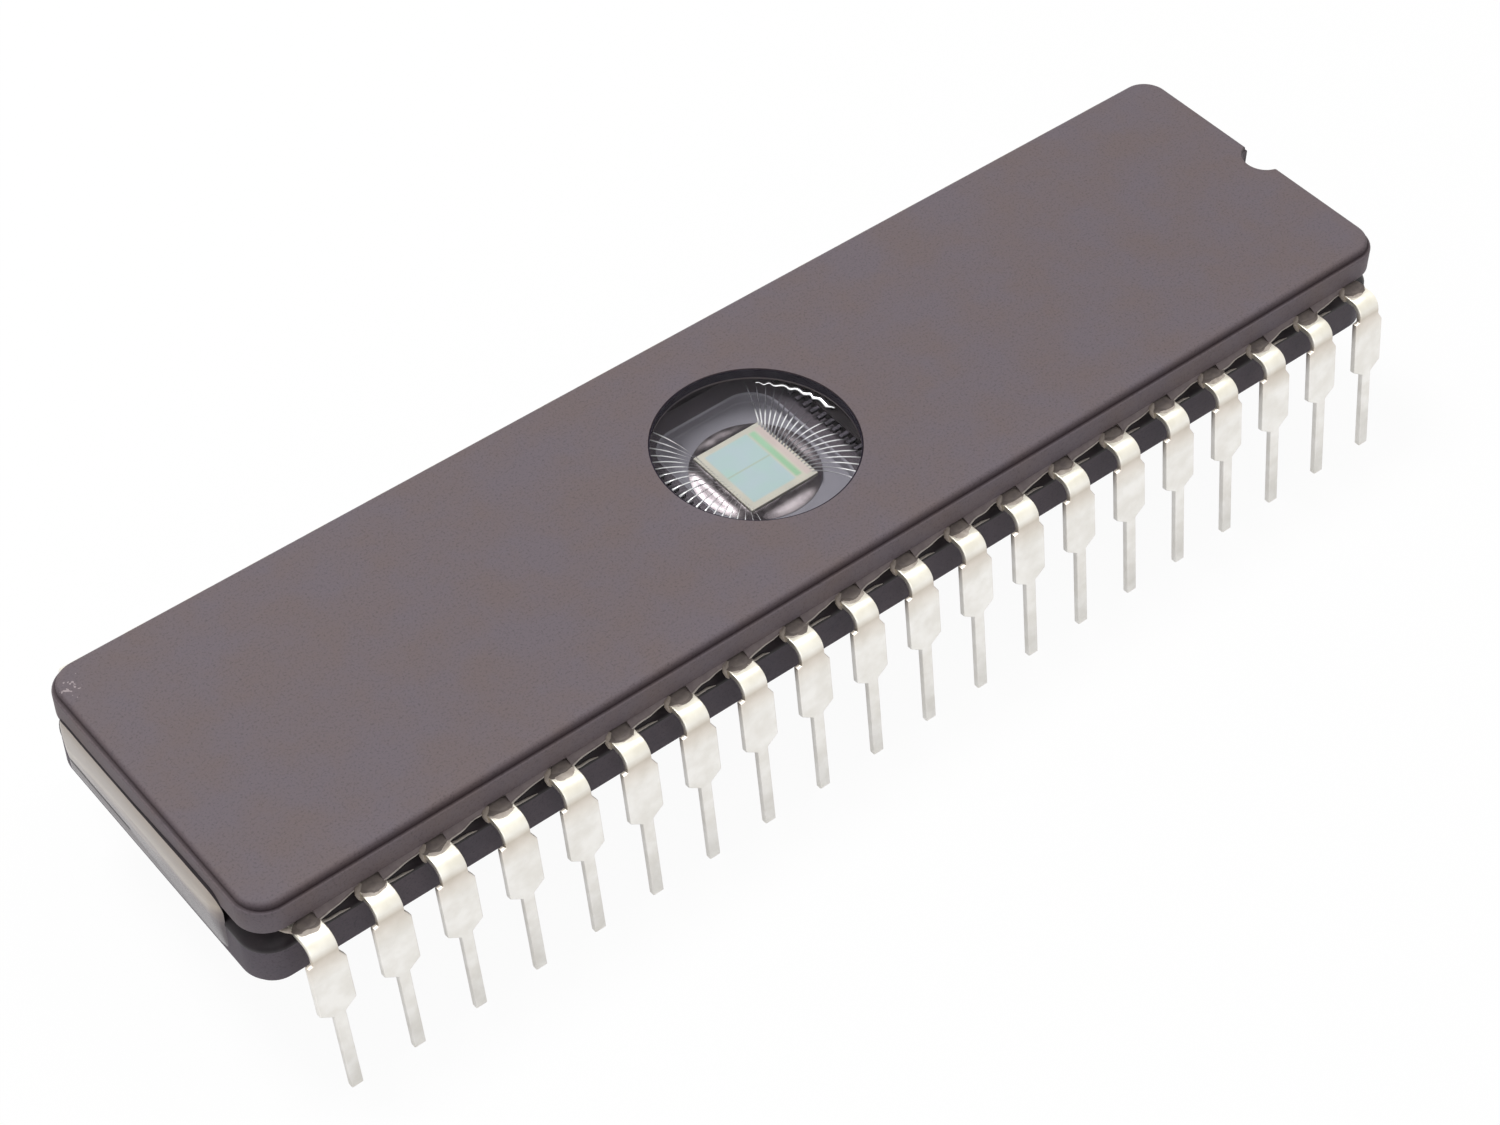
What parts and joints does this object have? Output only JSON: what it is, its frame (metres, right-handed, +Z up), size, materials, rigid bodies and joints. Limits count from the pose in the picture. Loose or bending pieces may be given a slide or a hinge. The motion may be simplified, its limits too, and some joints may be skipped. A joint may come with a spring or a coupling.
{
  "type": "eprom chip",
  "caption": "Ceramic dual in-line memory chip: two pressed ceramic slabs sealed with glass round a lead frame, with a clear round window over the die and two rows of splayed leads.",
  "frame": {"origin": "centre of the footprint, on the plane of the lead tips", "axes": "+Z up through the window, +X along the body towards the end with the index notch"},
  "size_m": [0.0522, 0.0176, 0.0083],
  "materials": {
    "pressed_ceramic": "matt, unglazed, dark mauve-brown pressed alumina",
    "window_glass": "polished, clear",
    "seal_glass": "glossy dark solder glass, paler where it has run out",
    "silicon": "smooth, with pale teal and green thin-film colours",
    "silver_glass": "bright metal-filled glass",
    "tin_plate": "satin tin plate, brighter at the bends"
  },
  "bodies": {
    "root": {"base": "pressed_ceramic", "cap": "pressed_ceramic", "window": "window_glass", "seal_glass": "seal_glass", "die": "silicon", "die_attach": "silver_glass", "lead_01": "tin_plate", "lead_02": "tin_plate", "lead_03": "tin_plate", "lead_04": "tin_plate", "lead_05": "tin_plate", "lead_06": "tin_plate", "lead_07": "tin_plate", "lead_08": "tin_plate", "lead_09": "tin_plate", "lead_10": "tin_plate", "lead_11": "tin_plate", "lead_12": "tin_plate", "lead_13": "tin_plate", "lead_14": "tin_plate", "lead_15": "tin_plate", "lead_16": "tin_plate", "lead_17": "tin_plate", "lead_18": "tin_plate", "lead_19": "tin_plate", "lead_20": "tin_plate", "lead_21": "tin_plate", "lead_22": "tin_plate", "lead_23": "tin_plate", "lead_24": "tin_plate", "lead_25": "tin_plate", "lead_26": "tin_plate", "lead_27": "tin_plate", "lead_28": "tin_plate", "lead_29": "tin_plate", "lead_30": "tin_plate", "lead_31": "tin_plate", "lead_32": "tin_plate", "lead_33": "tin_plate", "lead_34": "tin_plate", "lead_35": "tin_plate", "lead_36": "tin_plate", "lead_37": "tin_plate", "lead_38": "tin_plate", "lead_39": "tin_plate", "lead_40": "tin_plate"}
  },
  "joints": []
}
